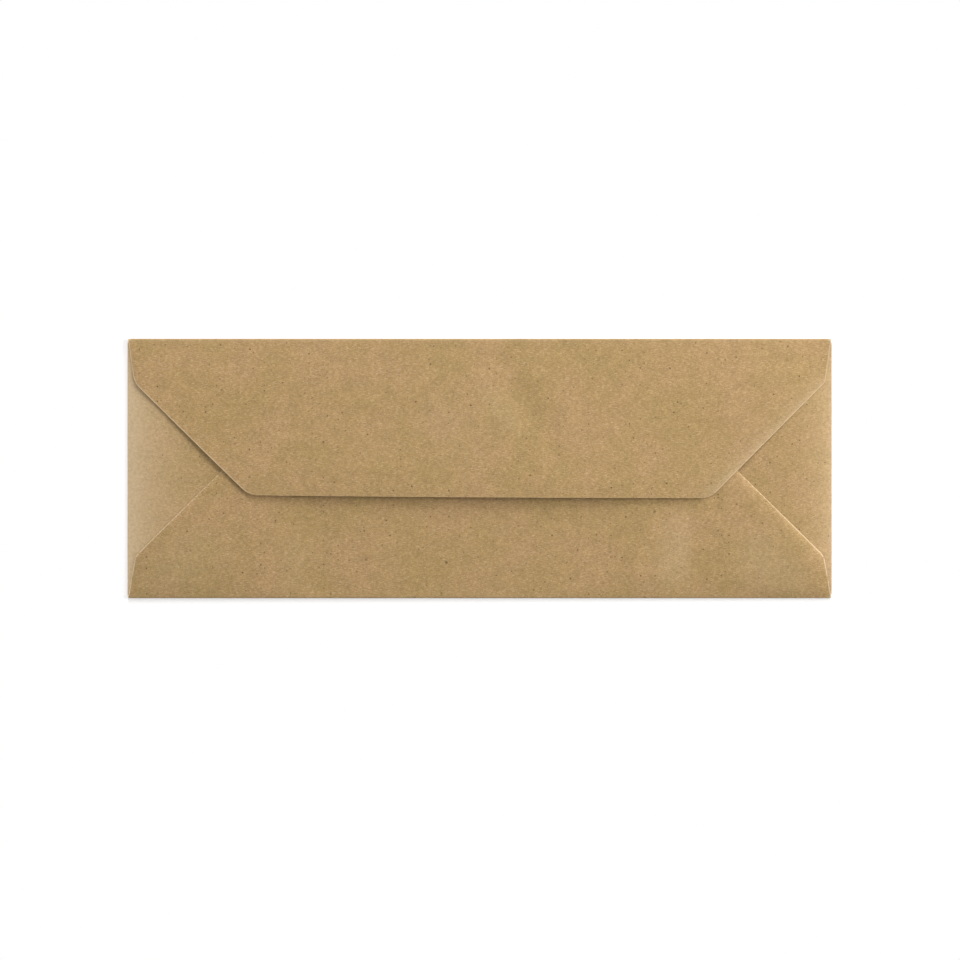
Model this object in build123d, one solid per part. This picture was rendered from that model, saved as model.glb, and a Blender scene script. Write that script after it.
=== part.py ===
"""A plain kraft paper envelope, closed and lying on its address side.

The envelope is one die-cut sheet. The front panel lies on z = 0. The two side flaps fold in
over it, the bottom flap folds up over them and is glued to them along two slanting seams, and
the top flap folds down over the pocket's mouth. The top flap isn't stuck down.

Frame: X along the long side, +Y towards the top fold, +Z out of the back. The origin is the
middle of the front panel, on the surface that the envelope lies on. Sizes are millimetres.
"""

import os
from math import radians, tan

from build123d import *

# The sheet and the closed envelope
paper = 0.16  # thickness of the sheet
width = 220.0  # over the two side folds
height = 81.0  # from the bottom fold to the top fold

# The pocket: the back rises from its folds to a flat middle
pocket_gap = 0.2  # free height inside the pocket, at the side folds
pocket_rise = 1.4  # how much further the middle of the back stands up
pocket_ramp = 11.0  # width of the sloping border round the flat middle

# The bottom flap, which makes the lower back panel
bottom_shoulder_in = 2.6  # from the side fold to the end of the short shoulder cut
bottom_shoulder_up = 13.2  # the same point, above the bottom fold
seam_angle = 44.5  # of the slanting seams, above the bottom fold
throat_depth = 22.0  # from the top fold down to the bottom flap's hidden edge
throat_round = 6.0  # at the two ends of that edge

# The side flaps, under the bottom flap
side_flap_width = 43.7  # from the side fold to the flap's straight inner edge
side_flap_taper = 6.0  # slope of the edges that run beside the top and bottom folds
side_flap_round = 5.0
corner_gap = 0.6  # between the end of a side fold and the fold beside it

# The top flap
flap_depth = 49.5  # from the top fold to the middle of the free edge
flap_bow = 0.2  # how far the middle of the free edge stands out past its ends
flap_shoulder_in = 2.2
flap_shoulder_down = 13.6
flap_angle = 44.8  # of the slanting edges, below the top fold
flap_round = 6.0  # where the slanting edges meet the free edge
flap_gap = 0.12  # between the top flap and the bottom flap, at the fold
flap_lift = 0.9  # how much more the free edge springs up
shoulder_round = 3.0  # on the corner after each shoulder, on both large flaps

# Levels of the undersides of the flaps at their folds, and the folds that reach them
side_level = paper + pocket_gap
bottom_level = side_level + paper
flap_level = bottom_level + paper + flap_gap
side_radius = (side_level + paper) / 2
bottom_radius = (bottom_level + paper) / 2
flap_radius = (flap_level + paper) / 2

# Fold lines: where the flat panels end and the folds begin
side_line = width / 2 - side_radius
bottom_line = -height / 2 + bottom_radius
top_line = height / 2 - flap_radius
panel_width = 2 * side_line
panel_height = top_line - bottom_line
panel_middle = (top_line + bottom_line) / 2
headroom = flap_level + pocket_rise + flap_lift + 2 * paper  # clears every layer


def fold(radius, plane, length):
    """A folded edge: the outer half of a tube, built along the plane's own Z."""
    ring = Circle(radius) - Circle(radius - paper)
    outer_half = Pos(-radius / 2, 0) * Rectangle(radius, 2 * radius)
    return extrude(plane * (ring & outer_half), length)


def roof(level):
    """All the space under the back's surface, where it leaves the folds at this level."""
    base = Pos(0, panel_middle, level) * Rectangle(panel_width, panel_height)
    crown_width = panel_width - 2 * pocket_ramp
    crown_height = panel_height - 2 * pocket_ramp
    crown = Pos(0, panel_middle, level + pocket_rise) * Rectangle(crown_width, crown_height)
    block = Pos(0, panel_middle, level / 2) * Box(panel_width, panel_height, level)
    return block + loft([base, crown])


def back_layer(outline, level):
    """A flap with this outline, bent to the back's shape above this level."""
    return extrude(outline, headroom) & (roof(level + paper) - roof(level))


def rounded_outline(corners, radii):
    """A flat face with these corners; a radius of 0 leaves its corner sharp."""
    return make_face(FilletPolyline(*corners, radius=radii, close=True))


def mirrored(corners):
    """Corners given along the left half, followed by their mirror images."""
    return corners + [(-x, y) for x, y in reversed(corners)]


def front_panel():
    return Pos(0, panel_middle, paper / 2) * Box(panel_width, panel_height, paper)


def left_flap():
    """The left side flap with its fold: a wide strip, tapered towards its inner edge."""
    fold_end = height / 2 - flap_radius - corner_gap
    reach = side_flap_width - side_radius
    inner_end = fold_end - reach * tan(radians(side_flap_taper))
    inner_round = min(side_flap_round, inner_end / 2, reach / 2)

    lower_edge = [(-side_line, -fold_end), (-side_line + reach, -inner_end)]
    upper_edge = [(x, -y) for x, y in reversed(lower_edge)]
    outline = rounded_outline(lower_edge + upper_edge, [0, inner_round, inner_round, 0])
    plane = Plane(origin=(-side_line, fold_end, side_radius), x_dir=(1, 0, 0), z_dir=(0, -1, 0))
    return back_layer(outline, side_level) + fold(side_radius, plane, 2 * fold_end)


def bottom_flap():
    """The lower back panel with its fold. Its underside lies on the side flaps."""
    edge_height = height - throat_depth
    seam_run = (edge_height - bottom_shoulder_up) / tan(radians(seam_angle))
    left_edge = [
        (-side_line, bottom_line),
        (-width / 2 + bottom_shoulder_in, -height / 2 + bottom_shoulder_up),
        (-width / 2 + bottom_shoulder_in + seam_run, -height / 2 + edge_height),
    ]
    radii = [0, shoulder_round, throat_round, throat_round, shoulder_round, 0]
    sheet = back_layer(rounded_outline(mirrored(left_edge), radii), bottom_level)
    plane = Plane(
        origin=(-side_line, bottom_line, bottom_radius), x_dir=(0, 1, 0), z_dir=(1, 0, 0)
    )
    return sheet + fold(bottom_radius, plane, panel_width)


def top_flap_outline():
    """The top flap seen from above: shoulders, slanting edges and a slightly bowed free edge."""
    end_depth = flap_depth - flap_bow
    slant_run = (end_depth - flap_shoulder_down) / tan(radians(flap_angle))
    fold_corner = (-side_line, top_line)
    shoulder = (-width / 2 + flap_shoulder_in, height / 2 - flap_shoulder_down)
    tip = (-width / 2 + flap_shoulder_in + slant_run, height / 2 - end_depth)
    middle = (0, height / 2 - flap_depth)
    right_tip, right_shoulder, right_corner = [(-x, y) for x, y in (tip, shoulder, fold_corner)]
    edges = [
        Line(fold_corner, shoulder),
        Line(shoulder, tip),
        ThreePointArc(tip, middle, right_tip),
        Line(right_tip, right_shoulder),
        Line(right_shoulder, right_corner),
        Line(right_corner, fold_corner),
    ]
    face = make_face(edges)
    tips = face.vertices().sort_by(Axis.Y)[:2]
    face = fillet(tips, flap_round)
    shoulders = face.vertices().filter_by_position(Axis.Y, shoulder[1], shoulder[1])
    return fillet(shoulders, shoulder_round)


def top_flap():
    """The closing flap with its fold. It climbs past the ramp, then springs up a little."""
    run_end = top_line - (height / 2 - flap_depth) + paper  # just past the free edge
    slope_end = pocket_rise + flap_lift
    profile = [(0, 0), (pocket_ramp, pocket_rise), (run_end, slope_end)]
    underside = [(run, flap_level + rise) for run, rise in profile]
    upper_side = [(run, z + paper) for run, z in reversed(underside)]
    plane = Plane(origin=(side_line, top_line, 0), x_dir=(0, -1, 0), z_dir=(-1, 0, 0))
    section = plane * make_face(Polyline(*underside, *upper_side, close=True))
    sheet = extrude(section, panel_width) & extrude(top_flap_outline(), headroom)
    fold_plane = Plane(
        origin=(side_line, top_line, flap_radius), x_dir=(0, -1, 0), z_dir=(-1, 0, 0)
    )
    return sheet + fold(flap_radius, fold_plane, panel_width)


def envelope():
    left = left_flap()
    right = mirror(left, about=Plane.YZ)
    return front_panel() + left + right + bottom_flap() + top_flap()


def main():
    os.makedirs("parts", exist_ok=True)
    sheet = envelope()
    export_step(sheet, "parts/envelope.step")
    print("solids", len(sheet.solids()), "volume", round(sheet.volume, 1))
    print("size", sheet.bounding_box().size)


main()
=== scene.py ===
import math

import bmesh
import bpy
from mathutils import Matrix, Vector, noise


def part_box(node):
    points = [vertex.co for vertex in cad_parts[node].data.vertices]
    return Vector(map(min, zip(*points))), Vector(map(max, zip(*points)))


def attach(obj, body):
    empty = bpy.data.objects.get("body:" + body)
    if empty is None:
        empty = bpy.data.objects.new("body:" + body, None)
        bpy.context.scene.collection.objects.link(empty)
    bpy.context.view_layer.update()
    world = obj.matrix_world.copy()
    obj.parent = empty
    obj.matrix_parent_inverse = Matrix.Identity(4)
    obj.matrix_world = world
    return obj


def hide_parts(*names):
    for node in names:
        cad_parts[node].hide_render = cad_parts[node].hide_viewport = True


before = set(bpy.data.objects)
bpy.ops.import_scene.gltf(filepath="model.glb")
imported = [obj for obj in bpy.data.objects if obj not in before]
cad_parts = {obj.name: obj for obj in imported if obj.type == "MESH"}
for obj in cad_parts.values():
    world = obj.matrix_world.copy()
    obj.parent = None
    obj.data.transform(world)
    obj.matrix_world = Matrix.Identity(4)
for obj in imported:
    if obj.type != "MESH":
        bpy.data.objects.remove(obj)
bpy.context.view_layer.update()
print("frame loaded")

# Lengths are in millimetres until the finished sheet is scaled down to metres
boxLow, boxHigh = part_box("envelope")
halfWidth = (boxHigh[0] - boxLow[0]) * 500
halfHeight = (boxHigh[1] - boxLow[1]) * 500

sheet = {
    "paper": 0.16,  # thickness
    "spacing": 1.25,  # of the mesh
    "leastRow": 0.3,  # no row is nearer than this to the ends of the side folds
    "cutBand": 0.40,  # strip of bruised, paler fibres beside a cut, which also carries a painted edge highlight
    "innerBand": 0.60,  # and a plain strip inside it
    "cornerSteps": 8,  # facets round each corner
    "foldSteps": 6,  # and round each fold
    "snap": 0.001,  # points this near a line or a fold are on it
    "slack": 0.01,  # the same, for the ends of the folds
    "panelWeld": 0.004,  # points of a panel this near each other become one
    "sheetWeld": 0.003,  # and points of the whole sheet
    "cutSoftness": 0.03,  # bevel on the cut edges
    "cutCorner": 55,  # degrees, the least corner that is bevelled
    "sideFold": 0.18,  # radius of each fold, to the middle of the paper
    "bottomFold": 0.26,
    "topFold": 0.40,
    "leftPaintedSheen": (2.25, 8.0),  # strength and reach of the painted sheen along each side fold
    "rightPaintedSheen": (0.62, 6.0),
    "frontPaintedSheen": 0.4,  # share of it on the address face
    "frontPaintedSheenFade": 3,  # where it fades this many times as fast
    "foldScuff": 0.1,  # rubbing of the top and bottom folds
    "mapSize": 320.0,  # millimetres across the sheet's own map
}

sideLine = halfWidth - sheet["sideFold"] - sheet["paper"] / 2
bottomLine = -halfHeight + sheet["bottomFold"] + sheet["paper"] / 2
topLine = halfHeight - sheet["topFold"] - sheet["paper"] / 2


def smoothStep(start, end, value):
    share = min(max((value - start) / (end - start), 0.0), 1.0)
    return share * share * (3 - 2 * share)


def settle(distance, reach):
    return 1 - math.exp(-max(distance, 0.0) / reach)


def waves(x, y, size, seed):
    return noise.noise(Vector((x / size, y / size, seed)))


# A soft mark with a long axis, given by its centre, heading, half width and half length
def softMark(x, y, mark, strength):
    heading = math.radians(mark["heading"])
    awayX = x - mark["at"][0]
    awayY = y - mark["at"][1]
    along = awayX * math.cos(heading) + awayY * math.sin(heading)
    across = -awayX * math.sin(heading) + awayY * math.cos(heading)
    fade = math.exp(-((along / mark["length"]) ** 4))
    return strength * math.exp(-((across / mark["width"]) ** 2)) * fade


# Distance of a place from the line through two points, positive on the left of it
def besideLine(x, y, start, end):
    runX = end[0] - start[0]
    runY = end[1] - start[1]
    return (runX * (y - start[1]) - runY * (x - start[0])) / math.hypot(runX, runY)


pocket = {
    "foldRise": 0.45,  # how far the back springs up straight off a side fold
    "foldReach": 1.5,
    "rise": 1.05,  # and how much further it swells up
    "sideReach": 13.0,  # over this width
    "endReach": 9.0,  # how soon it does so from the top and bottom folds
    "sag": 0.85,  # of its middle
    "sagFrom": 12.0,  # between these distances from the side folds
    "sagTo": 60.0,
    "waveHeight": 0.30,
    "waveSize": 46.0,
    "waveSeed": 3.1,
    "rippleHeight": 0.085,
    "rippleSize": 17.0,
    "rippleSeed": 8.4,
    "waveReach": 6.0,  # how soon the waves start beside a fold
}


def backWaves(x, y):
    reach = pocket["waveReach"]
    share = settle(sideLine - abs(x), reach) * settle(topLine - y, reach) * settle(y - bottomLine, reach)
    wave = pocket["waveHeight"] * waves(x, y, pocket["waveSize"], pocket["waveSeed"])
    ripple = pocket["rippleHeight"] * waves(x, y, pocket["rippleSize"], pocket["rippleSeed"])
    return share * (wave + ripple)


def swell(away, reach):
    left = 1 - min(max(away, 0) / reach, 1.0)
    return 1 - left * left


def backRise(x, y):
    away = sideLine - abs(x)
    sides = pocket["foldRise"] * settle(away, pocket["foldReach"])
    sides += pocket["rise"] * swell(away, pocket["sideReach"])
    ends = settle(topLine - y, pocket["endReach"]) * settle(y - bottomLine, pocket["endReach"])
    sag = pocket["sag"] * smoothStep(pocket["sagFrom"], pocket["sagTo"], away)
    return (sides - sag) * ends + backWaves(x, y)


sideFlap = {
    "width": 43.7,  # from the side fold to the inner edge
    "taper": 6.0,  # degrees, of the edges beside the top and bottom folds
    "foldEnd": 1.08,  # from the ends of the envelope to the ends of the side fold
    "rounding": 4.5,
}

sideFlapEnd = halfWidth - sideFlap["width"]

bottomFlap = {
    "clearance": 0.035,  # over the side flaps
    "clearanceReach": 1.0,  # how soon it is reached from the bottom fold
    "shoulderIn": 2.6,
    "shoulderUp": 13.2,
    "slant": 44.5,  # degrees above the bottom fold
    "throat": 22.0,  # from the top fold down to the hidden edge
    "shoulderRounding": 1.3,
    "throatRounding": 2.6,
    "emboss": 0.10,  # how far it sinks where there is no side flap under it
    "embossLeft": 6.0,  # over this width at each side
    "embossRight": 1.6,
    "leftRimDrop": 0.26,  # how far the rim is pressed down along the glued seams
    "leftRimReach": 0.35,
    "rightRimDrop": 0.78,
    "rightRimReach": 1.6,
    "rimBlend": 60.0,  # one drop turns into the other this far each way of the middle
    "rimFade": 22.0,  # how far into the flap it is felt
    "rimStart": 4.0,  # and how soon from the bottom fold
    "foldReach": 3.0,  # how soon the embossing and the creases start from that fold
    "creaseEnd": 1.5,  # the creases end over this width before the side flaps
    "patchStart": 2.0,  # how soon the patches of painted light start from the bottom fold
    "patchEnd": 1.0,  # those in the middle end this far each way of a side flap's edge
    # Patches of painted light, standing in for the shading of relief that the shape doesn't give
    "paintedLightPatches": [
        {"at": (61.5, -26.0), "heading": 80, "width": 6.0, "length": 12, "paleness": 0.40},
        {"at": (-58.0, -31.0), "heading": 80, "width": 4.5, "length": 9, "paleness": 0.16},
        {"at": (91.0, -31.0), "heading": -40, "width": 8.0, "length": 13, "paleness": 0.36},
        {"at": (-94.0, -31.0), "heading": 40, "width": 8.0, "length": 14, "paleness": 0.22},
    ],
    "creases": [
        {"at": (-50.0, -28.0), "heading": 88, "width": 4.5, "length": 17, "depth": 0.30},
        {"at": (51.0, -24.0), "heading": 87, "width": 12.0, "length": 24, "depth": -0.42},
        {"at": (-76.0, -26.0), "heading": 52, "width": 7.0, "length": 15, "depth": 0.18},
    ],
}

bottomShoulder = (halfWidth - bottomFlap["shoulderIn"], -halfHeight + bottomFlap["shoulderUp"])
throatHeight = halfHeight - bottomFlap["throat"]
seamRun = (throatHeight - bottomShoulder[1]) / math.tan(math.radians(bottomFlap["slant"]))
throatEnd = (bottomShoulder[0] - seamRun, throatHeight)


# Distance inside the bottom flap's two seams
def insideSeams(x, y):
    return besideLine(-abs(x), y, (-throatEnd[0], throatEnd[1]), (-bottomShoulder[0], bottomShoulder[1]))


def bottomHeight(x, y):
    away = y - bottomLine
    height = backRise(x, y) + bottomFlap["clearance"] * settle(away, bottomFlap["clearanceReach"])
    toRight = smoothStep(-bottomFlap["rimBlend"], bottomFlap["rimBlend"], x)
    drop = bottomFlap["leftRimDrop"] + (bottomFlap["rightRimDrop"] - bottomFlap["leftRimDrop"]) * toRight
    reach = bottomFlap["rightRimReach"] if x > 0 else bottomFlap["leftRimReach"]
    inside = insideSeams(x, y)
    felt = math.exp(-max(inside, 0) / bottomFlap["rimFade"])
    height += drop * settle(inside, reach) * felt * settle(away, bottomFlap["rimStart"])
    blend = bottomFlap["embossRight"] if x > 0 else bottomFlap["embossLeft"]
    sunk = 1 - smoothStep(sideFlapEnd - blend, sideFlapEnd, abs(x))
    started = settle(away, bottomFlap["foldReach"])
    height -= bottomFlap["emboss"] * sunk * started
    if abs(x) < sideFlapEnd:
        clear = smoothStep(sideFlapEnd, sideFlapEnd - bottomFlap["creaseEnd"], abs(x))
        for crease in bottomFlap["creases"]:
            height -= softMark(x, y, crease, crease["depth"]) * started * clear
    return height


topFlap = {
    "shoulderIn": 2.2,
    "shoulderDown": 13.6,
    "slant": 44.8,  # degrees below the top fold
    "depth": 49.5,  # from the top fold to the middle of the free edge
    "bow": 0.2,  # how much lower that middle is than the ends
    "skew": 0.45,  # how much lower the right end is than the middle, and the left end higher
    "leftShoulderRounding": 2.0,
    "rightShoulderRounding": 0.8,
    "tipRounding": 2.6,
    "endReach": 14.0,  # how soon it swells up from the top fold
    "leftReach": 6.0,  # and from each side fold
    "rightReach": 13.0,
    "sag": 0.45,  # of its middle
    "lift": 1.57,  # of the free edge
    "tipLoss": 0.45,  # share of that lift that is gone at the ends of the edge
    "leftLift": 0.02,  # more lift beside the left slant
    "leftLiftReach": 9.0,
    "leftLiftFrom": 0.2,  # shares of the way down where it starts and is full
    "leftLiftTo": 0.8,
    "rightLift": 0.55,  # and beside the right slant, whose rim then curls down
    "rightLiftReach": 14.0,
    "rightLiftFrom": 0.05,
    "rightLiftTo": 0.35,
    "rightCurl": 1.05,
    "rightCurlReach": 2.8,
    "rimPaintedHighlight": 0.85,  # how strong the painted highlight on that rim is
    "rimHighlightReach": 2.2,
    "rimHighlightFrom": 6.0,  # distances past the top fold where it starts and is full
    "rimHighlightTo": 18.0,
    "edgeCurl": 0.42,  # how far the free edge curls down
    "edgeCurlReach": 5.0,
    "creaseReach": 6.0,  # how soon the creases start from the top fold
    "restFrom": 3.0,  # past the top fold, where it starts to rest on what is under it
    "restSpacing": 1.15,  # thicknesses of paper between the middles of the two layers
    "restSharpness": 14,  # how sharply it comes to rest, per millimetre
    "restLimit": 30,  # keeps the exponential small
    "throatMargin": 1.5,  # past the bottom flap's edges, where it still rests on that flap
    "seamMargin": 0.5,
    "freeCut": 0.1,  # paleness beside the free edge, and beside the other cuts: bruised fibres with a painted edge highlight, kept faint on the free edge
    "slantCut": 0.65,
    "freeCutBand": 1.2,
    # Patches of painted light, standing in for the shading of relief that the shape doesn't give
    "paintedLightPatches": [
        {"at": (6.5, 18.5), "heading": -50, "width": 3.5, "length": 9, "paleness": 0.22},
        {"at": (-9.0, 12.0), "heading": -35, "width": 8.0, "length": 12, "paleness": 0.12},
    ],
    "creases": [
        {"at": (13.5, 21.0), "heading": -57, "width": 5.0, "length": 22, "depth": 0.48},
        {"at": (-28.0, 12.0), "heading": -20, "width": 9.0, "length": 26, "depth": 0.16},
        {"at": (34.0, 14.0), "heading": 75, "width": 7.0, "length": 18, "depth": 0.20},
    ],
}

topShoulder = (halfWidth - topFlap["shoulderIn"], halfHeight - topFlap["shoulderDown"])
tipHeight = halfHeight - topFlap["depth"] + topFlap["bow"]
slantRun = (topShoulder[1] - tipHeight) / math.tan(math.radians(topFlap["slant"]))
tip = (topShoulder[0] - slantRun, tipHeight)


# The flap never sinks into the layer it lies on
def restOn(height, x, y):
    under = backRise(x, y) + 2 * sheet["sideFold"]
    if y < throatHeight + topFlap["throatMargin"] and insideSeams(x, y) > -topFlap["seamMargin"]:
        under = bottomHeight(x, y) + 2 * sheet["bottomFold"]
    under += topFlap["restSpacing"] * sheet["paper"] - 2 * sheet["topFold"]
    sharpness = topFlap["restSharpness"]
    sunk = min((under - height) * sharpness, topFlap["restLimit"])
    return height + math.log1p(math.exp(sunk)) / sharpness


def topHeight(x, y):
    away = topLine - y
    reach = topFlap["rightReach"] if x > 0 else topFlap["leftReach"]
    fromRightSlant = max(-besideLine(x, y, topShoulder, tip), 0)
    fromLeftSlant = max(besideLine(x, y, (-topShoulder[0], topShoulder[1]), (-tip[0], tip[1])), 0)
    fromSide = sideLine - abs(x)
    swollen = pocket["foldRise"] + pocket["rise"] * swell(fromSide, reach)
    swollen -= topFlap["sag"] * smoothStep(pocket["sagFrom"], pocket["sagTo"], fromSide)
    height = swollen * settle(away, topFlap["endReach"]) + backWaves(x, y)
    share = min(away / (topLine - tipHeight), 1.0)
    middle = 1 - topFlap["tipLoss"] * min(abs(x) / tip[0], 1.0) ** 2
    height += topFlap["lift"] * middle * share ** 1.5
    height -= topFlap["edgeCurl"] * math.exp(-max(y - tipHeight, 0) / topFlap["edgeCurlReach"])
    besideLeft = math.exp(-fromLeftSlant / topFlap["leftLiftReach"])
    downLeft = smoothStep(topFlap["leftLiftFrom"], topFlap["leftLiftTo"], share)
    height += topFlap["leftLift"] * besideLeft * downLeft
    down = smoothStep(topFlap["rightLiftFrom"], topFlap["rightLiftTo"], share)
    height += topFlap["rightLift"] * down * math.exp(-fromRightSlant / topFlap["rightLiftReach"])
    height -= topFlap["rightCurl"] * down * math.exp(-fromRightSlant / topFlap["rightCurlReach"])
    for crease in topFlap["creases"]:
        height -= softMark(x, y, crease, crease["depth"]) * settle(away, topFlap["creaseReach"])
    return restOn(height, x, y) if away > topFlap["restFrom"] else height


# One flat panel of the sheet: an outline with rounded corners, a band beside its edge, then the grid
def cutPanel(corners, roundings, linesX, linesY, banded):
    panel = bmesh.new()
    outline = [panel.verts.new((x, y, 0)) for x, y in corners]
    panel.faces.new(outline)
    for corner, size in zip(outline, roundings):
        if size:
            bmesh.ops.bevel(
                panel, geom=[corner], offset=size, offset_type="OFFSET", segments=sheet["cornerSteps"],
                profile=0.5, affect="VERTICES", material=-1,
            )
    if banded:
        for width in (sheet["cutBand"], sheet["innerBand"]):
            middle = max(panel.faces, key=lambda face: face.calc_area())
            bmesh.ops.inset_individual(panel, faces=[middle], thickness=width, use_even_offset=True)
    for axis, lines in ((Vector((1, 0, 0)), linesX), (Vector((0, 1, 0)), linesY)):
        for place in lines:
            everything = panel.verts[:] + panel.edges[:] + panel.faces[:]
            bmesh.ops.bisect_plane(
                panel, geom=everything, dist=sheet["snap"], plane_co=axis * place, plane_no=axis
            )
    bmesh.ops.recalc_face_normals(panel, faces=panel.faces[:])
    bmesh.ops.remove_doubles(panel, verts=panel.verts[:], dist=sheet["panelWeld"])
    return panel


# Evenly spaced lines between two places, neither of which is a line itself
def linesBetween(start, end):
    count = max(round(abs(end - start) / sheet["spacing"]), 1)
    return [start + (end - start) * step / count for step in range(1, count)]


# Where the facets of a fold lie, past the fold line
def foldLines(radius):
    return [math.pi * radius * step / sheet["foldSteps"] for step in range(1, sheet["foldSteps"])]


# How far in and how high a place is that lies this far past a fold line, once it is folded over
def foldOver(distance, radius):
    bend = math.pi * radius
    if distance < bend:
        turn = distance / radius
        return -radius * math.sin(turn), radius * (1 - math.cos(turn))
    return distance - bend, 2 * radius


# How much painted sheen the paper gets this far from the side fold on this side
def paintedSheen(away, side):
    strength, reach = sheet["rightPaintedSheen"] if side > 0 else sheet["leftPaintedSheen"]
    return strength * math.exp(-max(away, 0) / reach)


# Rubbing of the top and bottom folds, this far past the fold line
def foldScuff(past, bend):
    return sheet["foldScuff"] * math.exp(-((past - bend / 2) / bend) ** 2)


def markSheet(panel, isFold):
    cutEdge = panel.verts.layers.float.new("cutEdge")
    panel.verts.layers.float.new("wearAndPaintedLight")
    for vert in panel.verts:
        onCut = any(edge.is_boundary for edge in vert.link_edges)
        vert[cutEdge] = 1.0 if onCut and not isFold(vert.co) else 0.0
    flatMap = panel.loops.layers.uv.new("flatSheet")
    for face in panel.faces:
        for loop in face.loops:
            place = loop.vert.co
            loop[flatMap].uv = (place.x / sheet["mapSize"] + 0.5, place.y / sheet["mapSize"] + 0.5)


# Puts one panel's mesh into another's, with its marks and its map
def addPanel(whole, panel):
    part = bpy.data.meshes.new("panel")
    panel.to_mesh(part)
    panel.free()
    whole.from_mesh(part)
    bpy.data.meshes.remove(part)


# The narrow strip that goes round a fold
def addStrip(panel, corners, linesX, linesY, isFold):
    strip = cutPanel(corners, [0, 0, 0, 0], linesX, linesY, False)
    markSheet(strip, isFold)
    addPanel(panel, strip)


columns = linesBetween(-sideLine, sideLine)
rows = linesBetween(bottomLine, topLine)
foldEnd = halfHeight - sideFlap["foldEnd"]
rows = [row for row in rows if abs(row) < foldEnd - sheet["leastRow"]] + [-foldEnd, foldEnd]


front = {
    "bow": 0.05,  # how far the address face bows in
    "bowSize": 50,
    "bowSeed": 21.7,
    "reach": 8,  # how soon it does so from the folds
}


def makeFront():
    corners = [(-sideLine, bottomLine), (sideLine, bottomLine), (sideLine, topLine), (-sideLine, topLine)]
    panel = cutPanel(corners, [0, 0, 0, 0], columns, rows, False)
    slack = sheet["slack"]
    markSheet(panel, lambda place: abs(place.y) < foldEnd + slack or abs(place.x) < sideLine - slack)
    wearAndPaintedLight = panel.verts.layers.float["wearAndPaintedLight"]
    for vert in panel.verts:
        away = sideLine - abs(vert.co.x)
        # Painted sheen, weaker and narrower, on the address face beside the side folds
        vert[wearAndPaintedLight] = sheet["frontPaintedSheen"] * paintedSheen(away * sheet["frontPaintedSheenFade"], vert.co.x)
        share = settle(away, front["reach"]) * settle(topLine - vert.co.y, front["reach"])
        share *= settle(vert.co.y - bottomLine, front["reach"])
        bow = 0.5 + 0.5 * waves(vert.co.x, vert.co.y, front["bowSize"], front["bowSeed"])
        vert.co.z = sheet["paper"] / 2 + front["bow"] * share * bow
    return panel


def makeSideFlap(side):
    radius = sheet["sideFold"]
    bend = math.pi * radius
    reach = sideFlap["width"] - (halfWidth - sideLine)
    innerEnd = foldEnd - reach * math.tan(math.radians(sideFlap["taper"]))
    farEdge = sideLine + bend + reach
    foldOut = sideLine + bend
    corners = [
        (side * foldOut, -foldEnd),
        (side * farEdge, -innerEnd),
        (side * farEdge, innerEnd),
        (side * foldOut, foldEnd),
    ]
    rounding = sideFlap["rounding"]
    linesX = [side * line for line in linesBetween(foldOut, farEdge)]
    panel = cutPanel(corners, [0, rounding, rounding, 0], linesX, rows, True)
    markSheet(panel, lambda place: abs(place.x) < foldOut + sheet["slack"])
    strip = [
        (side * sideLine, -foldEnd),
        (side * foldOut, -foldEnd),
        (side * foldOut, foldEnd),
        (side * sideLine, foldEnd),
    ]
    linesX = [side * (sideLine + line) for line in foldLines(radius)]
    addStrip(panel, strip, linesX, rows, lambda place: abs(place.y) < foldEnd - sheet["slack"])
    wearAndPaintedLight = panel.verts.layers.float["wearAndPaintedLight"]
    for vert in panel.verts:
        past = abs(vert.co.x) - sideLine
        inward, height = foldOver(past, radius)
        # Painted sheen along the side fold
        vert[wearAndPaintedLight] = paintedSheen(past - bend, side)
        vert.co.x = side * (sideLine - inward)
        if past > bend + sheet["snap"]:
            height += backRise(vert.co.x, vert.co.y)
        vert.co.z = sheet["paper"] / 2 + height
    return panel


def makeBottomFlap():
    radius = sheet["bottomFold"]
    bend = math.pi * radius

    def unfold(place):
        return place[0], 2 * bottomLine - bend - place[1]

    foldOut = bottomLine - bend
    right = [(sideLine, foldOut), unfold(bottomShoulder), unfold(throatEnd)]
    left = [(-x, y) for x, y in reversed(right)]
    shoulder = bottomFlap["shoulderRounding"]
    throat = bottomFlap["throatRounding"]
    linesY = linesBetween(foldOut, unfold(throatEnd)[1])
    panel = cutPanel(right + left, [0, shoulder, throat, throat, shoulder, 0], columns, linesY, True)
    markSheet(panel, lambda place: place.y > foldOut - sheet["slack"])
    strip = [(-sideLine, foldOut), (sideLine, foldOut), (sideLine, bottomLine), (-sideLine, bottomLine)]
    linesY = [bottomLine - line for line in foldLines(radius)]
    addStrip(panel, strip, columns, linesY, lambda place: abs(place.x) < sideLine - sheet["slack"])
    wearAndPaintedLight = panel.verts.layers.float["wearAndPaintedLight"]
    for vert in panel.verts:
        past = bottomLine - vert.co.y
        inward, height = foldOver(past, radius)
        vert[wearAndPaintedLight] = foldScuff(past, bend)
        vert.co.y = bottomLine + inward
        # Patches of painted light, standing in for shading on relief
        for patch in bottomFlap["paintedLightPatches"]:
            pale = softMark(vert.co.x, vert.co.y, patch, patch["paleness"])
            pale *= settle(past - bend, bottomFlap["patchStart"])
            if abs(patch["at"][0]) < sideFlapEnd:
                end = bottomFlap["patchEnd"]
                pale *= 1 - smoothStep(sideFlapEnd - end, sideFlapEnd + end, abs(vert.co.x))
            vert[wearAndPaintedLight] += pale
        if past > bend + sheet["snap"]:
            height += bottomHeight(vert.co.x, vert.co.y)
        vert.co.z = sheet["paper"] / 2 + height
    return panel


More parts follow.
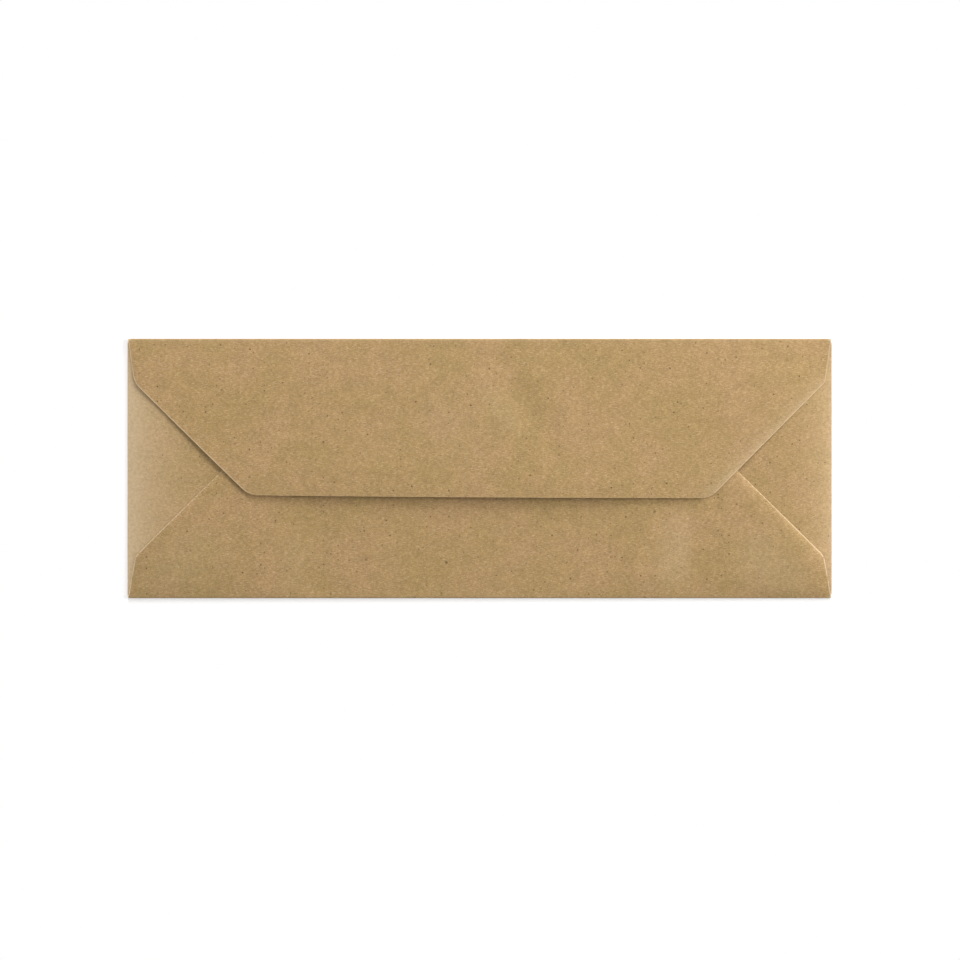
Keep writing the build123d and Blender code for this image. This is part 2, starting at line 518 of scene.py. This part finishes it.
def makeTopFlap():
    radius = sheet["topFold"]
    bend = math.pi * radius

    def unfold(place):
        return place[0], 2 * topLine + bend - place[1]

    foldOut = topLine + bend
    left = [(-sideLine, foldOut), unfold((-topShoulder[0], topShoulder[1])), unfold((-tip[0], tip[1]))]
    right = [(-x, y) for x, y in reversed(left)]
    leftShoulder = topFlap["leftShoulderRounding"]
    rightShoulder = topFlap["rightShoulderRounding"]
    tipRounding = topFlap["tipRounding"]
    roundings = [0, leftShoulder, tipRounding, tipRounding, rightShoulder, 0]
    panel = cutPanel(left + right, roundings, columns, linesBetween(foldOut, unfold(tip)[1]), True)
    markSheet(panel, lambda place: place.y < foldOut + sheet["slack"])
    strip = [(-sideLine, topLine), (sideLine, topLine), (sideLine, foldOut), (-sideLine, foldOut)]
    linesY = [topLine + line for line in foldLines(radius)]
    addStrip(panel, strip, columns, linesY, lambda place: abs(place.x) < sideLine - sheet["slack"])
    wearAndPaintedLight = panel.verts.layers.float["wearAndPaintedLight"]
    cutEdge = panel.verts.layers.float["cutEdge"]
    for vert in panel.verts:
        past = vert.co.y - topLine
        inward, height = foldOver(past, radius)
        vert[wearAndPaintedLight] = foldScuff(past, bend)
        # A painted highlight along the right slant's curled rim
        fromSlant = max(-besideLine(*unfold(vert.co), topShoulder, tip), 0)
        onRim = smoothStep(topFlap["rimHighlightFrom"], topFlap["rimHighlightTo"], past)
        onRim *= math.exp(-fromSlant / topFlap["rimHighlightReach"])
        vert[wearAndPaintedLight] = max(vert[wearAndPaintedLight], topFlap["rimPaintedHighlight"] * onRim)
        # Patches of painted light, standing in for shading on relief
        for patch in topFlap["paintedLightPatches"]:
            vert[wearAndPaintedLight] += softMark(vert.co.x, topLine - inward, patch, patch["paleness"])
        share = vert.co.x / tip[0]
        if past > bend + sheet["snap"]:
            grown = (past - bend) / (topLine - tipHeight)
            inward += topFlap["bow"] * max(1 - share * share, 0) * grown ** 4
            inward += topFlap["skew"] * share * grown ** 4
        vert.co.y = topLine - inward
        # The band by the free edge is kept faint and that by the slants stronger, as a painted edge
        # highlight
        onFreeEdge = vert.co.y < tipHeight + topFlap["freeCutBand"]
        vert[cutEdge] *= topFlap["freeCut"] if onFreeEdge else topFlap["slantCut"]
        if past > bend + sheet["snap"]:
            height += topHeight(vert.co.x, vert.co.y)
        vert.co.z = sheet["paper"] / 2 + height
    return panel


def addFinish(piece):
    wall = piece.modifiers.new("thickness", "SOLIDIFY")
    wall.thickness = sheet["paper"] / 1000
    wall.offset = 0
    wall.use_even_offset = True
    wall.use_rim = True
    wall.material_offset_rim = 1
    soften = piece.modifiers.new("soft cut", "BEVEL")
    soften.width = sheet["cutSoftness"] / 1000
    soften.segments = 2
    soften.limit_method = "ANGLE"
    soften.angle_limit = math.radians(sheet["cutCorner"])
    soften.harden_normals = True


def makeEnvelope():
    whole = bmesh.new()
    for panel in (makeFront(), makeSideFlap(-1), makeSideFlap(1), makeBottomFlap(), makeTopFlap()):
        addPanel(whole, panel)
    bmesh.ops.remove_doubles(whole, verts=whole.verts[:], dist=sheet["sheetWeld"])
    bmesh.ops.recalc_face_normals(whole, faces=whole.faces[:])
    bmesh.ops.scale(whole, verts=whole.verts[:], vec=(0.001, 0.001, 0.001))
    for face in whole.faces:
        face.smooth = True
    mesh = bpy.data.meshes.new("foldedSheet")
    whole.to_mesh(mesh)
    print("sheet:", len(mesh.vertices), "points,", len(mesh.polygons), "faces")
    whole.free()
    piece = bpy.data.objects.new("foldedSheet", mesh)
    bpy.context.scene.collection.objects.link(piece)
    addFinish(piece)
    return piece


nodeGrid = {"columns": 8, "across": 220, "down": 320}


# Adds a node, set out in rows in the order that the nodes are made
def addNode(tree, kind, **settings):
    row, column = divmod(len(tree.nodes), nodeGrid["columns"])
    node = tree.nodes.new(kind)
    node.location = (column * nodeGrid["across"], -row * nodeGrid["down"])
    for name, value in settings.items():
        setattr(node, name, value)
    return node


# A noise setting is a scale, a detail, a roughness and a distortion
def addNoise(tree, vector, setting):
    node = addNode(tree, "ShaderNodeTexNoise")
    for name, value in zip(("Scale", "Detail", "Roughness", "Distortion"), setting):
        node.inputs[name].default_value = value
    tree.links.new(vector, node.inputs["Vector"])
    return node.outputs["Fac"]


# Spreads a band of values over another one
def addRange(tree, value, band, result=(0.0, 1.0)):
    node = addNode(tree, "ShaderNodeMapRange")
    node.inputs["From Min"].default_value = band[0]
    node.inputs["From Max"].default_value = band[1]
    node.inputs["To Min"].default_value = result[0]
    node.inputs["To Max"].default_value = result[1]
    tree.links.new(value, node.inputs["Value"])
    return node.outputs["Result"]


def addMath(tree, operation, first, second):
    node = addNode(tree, "ShaderNodeMath", operation=operation)
    for socket, value in zip(node.inputs, (first, second)):
        if isinstance(value, (int, float)):
            socket.default_value = value
        else:
            tree.links.new(value, socket)
    return node.outputs["Value"]


# Lays one colour over another, by a factor
def addMix(tree, factor, below, above, blend="MIX"):
    node = addNode(tree, "ShaderNodeMix", data_type="RGBA", blend_type=blend)
    for socket, value in zip((node.inputs[0], node.inputs[6], node.inputs[7]), (factor, below, above)):
        if isinstance(value, (int, float)):
            socket.default_value = value
        elif isinstance(value, tuple):
            socket.default_value = (*value, 1)
        else:
            tree.links.new(value, socket)
    return node.outputs[2]


# Noise scales are per millimetre, and the bands are of noise values
kraft = {
    "colour": (0.425, 0.277, 0.112),
    "darkPulp": (0.378, 0.244, 0.097),
    "lightPulp": (0.486, 0.325, 0.146),
    "darkFibre": (0.240, 0.140, 0.055),
    "olive": (0.985, 1.000, 0.945),
    "rosy": (1.020, 0.998, 1.050),
    "fibre": (0.610, 0.448, 0.270),
    "fleck": (0.110, 0.058, 0.024),
    "cut": (0.800, 0.630, 0.420),
    "cutStrength": 1.0,
    # Pale paper for the wear on the top and bottom folds, and for painted sheen, highlight and light
    # elsewhere
    "wearAndPaintedLightColour": (0.700, 0.525, 0.325),
    "wearAndPaintedLightStrength": 0.42,
    "wearAndPaintedLightBand": (0.35, 0.65),
    "wearAndPaintedLightSpread": 0.25,  # how patchy it is
    "cloudNoise": (0.24, 3, 0.6, 0.0),
    "blotchNoise": (0.06, 2, 0.55, 0.0),
    "pulpNoise": (1.0, 5, 0.78, 0.4),
    "grainNoise": (2.8, 3, 0.7, 0.0),
    "darkPulpBand": (0.53, 0.40),
    "lightPulpBand": (0.50, 0.66),
    "fibreHeadings": (18, 79, 141),
    "fibreScale": (0.9, 4.2, 1),
    "fibreShift": (7.3, 3.1, 0),  # from one heading to the next
    "fibreNoise": (1.0, 2, 0.5, 0.35),
    "paleFibreBand": (0.615, 0.685),
    "paleShare": 0.55,
    "darkFibreBand": (0.385, 0.310),
    "darkShare": 0.45,
    "fleckRaggedness": 3.0,  # scale of the noise that bends a fleck's outline
    "fleckSoftness": 0.35,
    "fleckStrength": (0.2, 0.9),
    "flecks": [
        {"apart": 1.15, "bare": 0.50, "largest": 0.36, "ragged": 0.45},
        {"apart": 5.0, "bare": 0.65, "largest": 0.62, "ragged": 0.60},
    ],
    "tintBand": (0.38, 0.62),
    "shadeBand": (0.30, 0.70),
    "cloudShade": (0.93, 1.07),
    "blotchShade": (0.97, 1.03),
    "grainShade": (0.88, 1.12),
    "roughness": 0.74,
    "roughnessSpread": 0.06,
    "specular": 0.28,
    "sheen": 0.10,
    "sheenRoughness": 0.6,
    "fibreRelief": 0.030,  # millimetres
    "cloudRelief": 0.035,
    "fibreHeight": 0.6,  # beside the grain's, which is 1
    "pulpHeight": 0.7,
}


# Lays the short straight fibres over the paper, pale and dark, and returns their relief with the grain's
def addFibres(tree, place, colour, relief):
    for turn, heading in enumerate(kraft["fibreHeadings"]):
        strokes = addNode(tree, "ShaderNodeMapping")
        strokes.inputs["Rotation"].default_value = (0, 0, math.radians(heading))
        strokes.inputs["Scale"].default_value = kraft["fibreScale"]
        strokes.inputs["Location"].default_value = [shift * turn for shift in kraft["fibreShift"]]
        tree.links.new(place, strokes.inputs["Vector"])
        streak = addNoise(tree, strokes.outputs["Vector"], kraft["fibreNoise"])
        pale = addRange(tree, streak, kraft["paleFibreBand"], (0.0, kraft["paleShare"]))
        dark = addRange(tree, streak, kraft["darkFibreBand"], (0.0, kraft["darkShare"]))
        colour = addMix(tree, pale, colour, kraft["fibre"])
        colour = addMix(tree, dark, colour, kraft["darkFibre"])
        raised = addMath(tree, "MULTIPLY", streak, kraft["fibreHeight"])
        relief = addMath(tree, "ADD", relief, raised)
    return colour, relief


# Dark flecks of bark: one call for the small ones everywhere, one for the few large ones
def addFlecks(tree, place, colour, fleckSize):
    ragged = addNode(tree, "ShaderNodeTexNoise")
    ragged.inputs["Scale"].default_value = kraft["fleckRaggedness"]
    tree.links.new(place, ragged.inputs["Vector"])
    shift = addNode(tree, "ShaderNodeVectorMath", operation="SCALE")
    shift.inputs["Scale"].default_value = fleckSize["ragged"]
    tree.links.new(ragged.outputs["Color"], shift.inputs[0])
    shifted = addNode(tree, "ShaderNodeVectorMath", operation="ADD")
    tree.links.new(place, shifted.inputs[0])
    tree.links.new(shift.outputs["Vector"], shifted.inputs[1])
    cells = addNode(tree, "ShaderNodeTexVoronoi")
    cells.inputs["Scale"].default_value = 1 / fleckSize["apart"]
    tree.links.new(shifted.outputs["Vector"], cells.inputs["Vector"])
    chance = addNode(tree, "ShaderNodeSeparateColor")
    tree.links.new(cells.outputs["Color"], chance.inputs["Color"])
    largest = fleckSize["largest"] / fleckSize["apart"]
    size = addRange(tree, chance.outputs["Red"], (fleckSize["bare"], 1.0), (0.0, largest))
    soft = addMath(tree, "SUBTRACT", size, cells.outputs["Distance"])
    fleck = addRange(tree, soft, (0.0, kraft["fleckSoftness"] * largest))
    strength = addRange(tree, chance.outputs["Green"], (0.0, 1.0), kraft["fleckStrength"])
    return addMix(tree, addMath(tree, "MULTIPLY", fleck, strength), colour, kraft["fleck"])


def addBump(tree, height, distance):
    bump = addNode(tree, "ShaderNodeBump")
    bump.inputs["Strength"].default_value = 1
    bump.inputs["Distance"].default_value = distance
    tree.links.new(height, bump.inputs["Height"])
    return bump


def makeKraft():
    material = bpy.data.materials.new("kraftPaper")
    material.use_nodes = True
    tree = material.node_tree
    tree.nodes.clear()
    output = addNode(tree, "ShaderNodeOutputMaterial")
    surface = addNode(tree, "ShaderNodeBsdfPrincipled")
    tree.links.new(surface.outputs["BSDF"], output.inputs["Surface"])

    flatMap = addNode(tree, "ShaderNodeUVMap", uv_map="flatSheet")
    toSize = addNode(tree, "ShaderNodeMapping")
    toSize.inputs["Scale"].default_value = (sheet["mapSize"], sheet["mapSize"], 1)
    tree.links.new(flatMap.outputs["UV"], toSize.inputs["Vector"])
    place = toSize.outputs["Vector"]

    cloud = addNoise(tree, place, kraft["cloudNoise"])
    blotch = addNoise(tree, place, kraft["blotchNoise"])
    pulp = addNoise(tree, place, kraft["pulpNoise"])
    grain = addNoise(tree, place, kraft["grainNoise"])

    darkShare = addRange(tree, pulp, kraft["darkPulpBand"])
    lightShare = addRange(tree, pulp, kraft["lightPulpBand"])
    colour = addMix(tree, darkShare, kraft["colour"], kraft["darkPulp"])
    colour = addMix(tree, lightShare, colour, kraft["lightPulp"])
    colour, relief = addFibres(tree, place, colour, grain)
    for fleckSize in kraft["flecks"]:
        colour = addFlecks(tree, place, colour, fleckSize)

    # Patches that lean to olive and to rose
    tint = addMix(tree, addRange(tree, blotch, kraft["tintBand"]), kraft["olive"], kraft["rosy"])
    colour = addMix(tree, 1.0, colour, tint, "MULTIPLY")

    # Slow drifts in shade over the whole sheet, then the fine grain
    cloudShade = addRange(tree, cloud, kraft["shadeBand"], kraft["cloudShade"])
    blotchShade = addRange(tree, blotch, kraft["shadeBand"], kraft["blotchShade"])
    grainShade = addRange(tree, grain, kraft["shadeBand"], kraft["grainShade"])
    shade = addMath(tree, "MULTIPLY", addMath(tree, "MULTIPLY", cloudShade, blotchShade), grainShade)
    shadeColour = addNode(tree, "ShaderNodeCombineColor")
    for channel in ("Red", "Green", "Blue"):
        tree.links.new(shade, shadeColour.inputs[channel])
    colour = addMix(tree, 1.0, colour, shadeColour.outputs["Color"], "MULTIPLY")

    # Bruised paper with a painted edge highlight beside the cuts, then painted sheen along the side
    # folds, rubbed paper on the top and bottom folds, and painted light in the patches and on the right
    # slant's rim
    cutEdge = addNode(tree, "ShaderNodeAttribute", attribute_name="cutEdge")
    cutShare = addMath(tree, "MULTIPLY", cutEdge.outputs["Fac"], kraft["cutStrength"])
    colour = addMix(tree, cutShare, colour, kraft["cut"])
    wearAndPaintedLight = addNode(tree, "ShaderNodeAttribute", attribute_name="wearAndPaintedLight")
    least = (1 - kraft["wearAndPaintedLightSpread"]) * kraft["wearAndPaintedLightStrength"]
    most = (1 + kraft["wearAndPaintedLightSpread"]) * kraft["wearAndPaintedLightStrength"]
    patchy = addRange(tree, pulp, kraft["wearAndPaintedLightBand"], (least, most))
    wearAndPaintedLightShare = addMath(tree, "MULTIPLY", wearAndPaintedLight.outputs["Fac"], patchy)
    colour = addMix(tree, wearAndPaintedLightShare, colour, kraft["wearAndPaintedLightColour"])
    tree.links.new(colour, surface.inputs["Base Color"])

    dullest = kraft["roughness"] + kraft["roughnessSpread"]
    shiniest = kraft["roughness"] - kraft["roughnessSpread"]
    shine = addRange(tree, pulp, kraft["shadeBand"], (dullest, shiniest))
    tree.links.new(shine, surface.inputs["Roughness"])
    surface.inputs["Specular IOR Level"].default_value = kraft["specular"]
    surface.inputs["Sheen Weight"].default_value = kraft["sheen"]
    surface.inputs["Sheen Roughness"].default_value = kraft["sheenRoughness"]

    relief = addMath(tree, "ADD", relief, addMath(tree, "MULTIPLY", pulp, kraft["pulpHeight"]))
    clouds = addBump(tree, cloud, kraft["cloudRelief"] / 1000)
    fibres = addBump(tree, relief, kraft["fibreRelief"] / 1000)
    tree.links.new(clouds.outputs["Normal"], fibres.inputs["Normal"])
    tree.links.new(fibres.outputs["Normal"], surface.inputs["Normal"])
    return material


cutPaper = {
    "noise": (3500, 3, 0.7, 0.0),  # scale per metre here
    "band": (0.3, 0.7),
    "dark": (0.50, 0.355, 0.190),
    "roughness": 0.95,
    "specular": 0.2,
    "relief": 0.00002,  # metres
}


# The cut edge itself: the pale, fuzzy middle of the paper
def makeCutPaper():
    material = bpy.data.materials.new("cutPaper")
    material.use_nodes = True
    tree = material.node_tree
    surface = tree.nodes["Principled BSDF"]
    place = addNode(tree, "ShaderNodeTexCoord").outputs["Object"]
    fuzz = addNoise(tree, place, cutPaper["noise"])
    shade = addRange(tree, fuzz, cutPaper["band"])
    colour = addMix(tree, shade, cutPaper["dark"], kraft["cut"])
    tree.links.new(colour, surface.inputs["Base Color"])
    surface.inputs["Roughness"].default_value = cutPaper["roughness"]
    surface.inputs["Specular IOR Level"].default_value = cutPaper["specular"]
    bump = addBump(tree, fuzz, cutPaper["relief"])
    tree.links.new(bump.outputs["Normal"], surface.inputs["Normal"])
    return material


envelope = makeEnvelope()
envelope.data.materials.append(makeKraft())
envelope.data.materials.append(makeCutPaper())
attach(envelope, "root")
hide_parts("envelope")
print("envelope made")

studio = {
    "floorSize": 8.0,
    "floorDrop": 0.00006,  # keeps it off the paper
    "floorColour": 0.80,
    "floorGlow": 0.32,  # only for what the camera sees
    "fadeToWhite": (0.001, 0.010),  # distances outside the envelope's box
    "worldStrength": 0.37,
    "rightLamp": {"place": (0.70, 0.14, 0.30), "size": 0.50, "power": 5.5, "colour": (1.0, 0.970, 0.955)},
    "leftLamp": {"place": (-0.60, 0.10, 0.20), "size": 0.30, "power": 0.9, "colour": (1.0, 0.99, 0.96)},
    "backLamp": {"place": (0.10, 1.40, 0.60), "size": 0.60, "power": 15.0, "colour": (1.0, 1.0, 1.0)},
    "cameraPlace": (0.0001, -0.0036, 0.8335),
    "lens": 100,
    "sensorWidth": 36,
}


# 1 for what the camera sees itself, in a reflection or through glass
def addSeen(tree):
    light = addNode(tree, "ShaderNodeLightPath")
    seen = addMath(tree, "MAXIMUM", light.outputs["Is Camera Ray"], light.outputs["Is Glossy Ray"])
    return addMath(tree, "MAXIMUM", seen, light.outputs["Is Transmission Ray"])


# Pale under and beside the envelope, for its shadow, and plain white further out
def makeFloorPaint():
    material = bpy.data.materials.new("paleFloor")
    material.use_nodes = True
    tree = material.node_tree
    tree.nodes.clear()
    output = addNode(tree, "ShaderNodeOutputMaterial")
    plain = addNode(tree, "ShaderNodeBsdfDiffuse")
    plain.inputs["Color"].default_value = (studio["floorColour"],) * 3 + (1,)
    glow = addNode(tree, "ShaderNodeEmission")
    both = addNode(tree, "ShaderNodeAddShader")
    white = addNode(tree, "ShaderNodeEmission")
    fade = addNode(tree, "ShaderNodeMixShader")
    seen = addSeen(tree)
    tree.links.new(addMath(tree, "MULTIPLY", seen, studio["floorGlow"]), glow.inputs["Strength"])
    tree.links.new(seen, white.inputs["Strength"])
    place = addNode(tree, "ShaderNodeTexCoord").outputs["Object"]
    either = addNode(tree, "ShaderNodeVectorMath", operation="ABSOLUTE")
    tree.links.new(place, either.inputs[0])
    outside = addNode(tree, "ShaderNodeVectorMath", operation="SUBTRACT")
    outside.inputs[1].default_value = (halfWidth / 1000, halfHeight / 1000, 0)
    tree.links.new(either.outputs["Vector"], outside.inputs[0])
    sides = addNode(tree, "ShaderNodeSeparateXYZ")
    tree.links.new(outside.outputs["Vector"], sides.inputs["Vector"])
    far = addMath(tree, "MAXIMUM", sides.outputs["X"], sides.outputs["Y"])
    tree.links.new(addRange(tree, far, studio["fadeToWhite"]), fade.inputs["Fac"])
    tree.links.new(plain.outputs["BSDF"], both.inputs[0])
    tree.links.new(glow.outputs["Emission"], both.inputs[1])
    tree.links.new(both.outputs["Shader"], fade.inputs[1])
    tree.links.new(white.outputs["Emission"], fade.inputs[2])
    tree.links.new(fade.outputs["Shader"], output.inputs["Surface"])
    return material


def makeFloor():
    shape = bmesh.new()
    bmesh.ops.create_grid(shape, x_segments=1, y_segments=1, size=studio["floorSize"] / 2)
    bmesh.ops.translate(shape, verts=shape.verts[:], vec=(0, 0, -studio["floorDrop"]))
    mesh = bpy.data.meshes.new("floor")
    shape.to_mesh(mesh)
    shape.free()
    floor = bpy.data.objects.new("floor", mesh)
    bpy.context.scene.collection.objects.link(floor)
    mesh.materials.append(makeFloorPaint())


def makeWorld():
    world = bpy.data.worlds.new("studio")
    world.use_nodes = True
    tree = world.node_tree
    background = tree.nodes["Background"]
    background.inputs["Color"].default_value = (1, 1, 1, 1)
    seen = addSeen(tree)
    strength = addRange(tree, seen, (0, 1), (studio["worldStrength"], 1.0))
    tree.links.new(strength, background.inputs["Strength"])
    bpy.context.scene.world = world


def addLamp(name):
    setting = studio[name]
    data = bpy.data.lights.new(name, "AREA")
    data.shape = "SQUARE"
    data.size = setting["size"]
    data.energy = setting["power"]
    data.color = setting["colour"]
    lamp = bpy.data.objects.new(name, data)
    lamp.location = setting["place"]
    lamp.rotation_euler = (-Vector(setting["place"])).to_track_quat("-Z", "Y").to_euler()
    bpy.context.scene.collection.objects.link(lamp)


def makeCamera():
    data = bpy.data.cameras.new("camera")
    data.lens = studio["lens"]
    data.sensor_width = studio["sensorWidth"]
    camera = bpy.data.objects.new("camera", data)
    camera.location = studio["cameraPlace"]
    bpy.context.scene.collection.objects.link(camera)
    bpy.context.scene.camera = camera


makeFloor()
makeWorld()
for lampName in ("rightLamp", "leftLamp", "backLamp"):
    addLamp(lampName)
makeCamera()
bpy.context.scene.view_settings.view_transform = "Standard"
print("studio made")
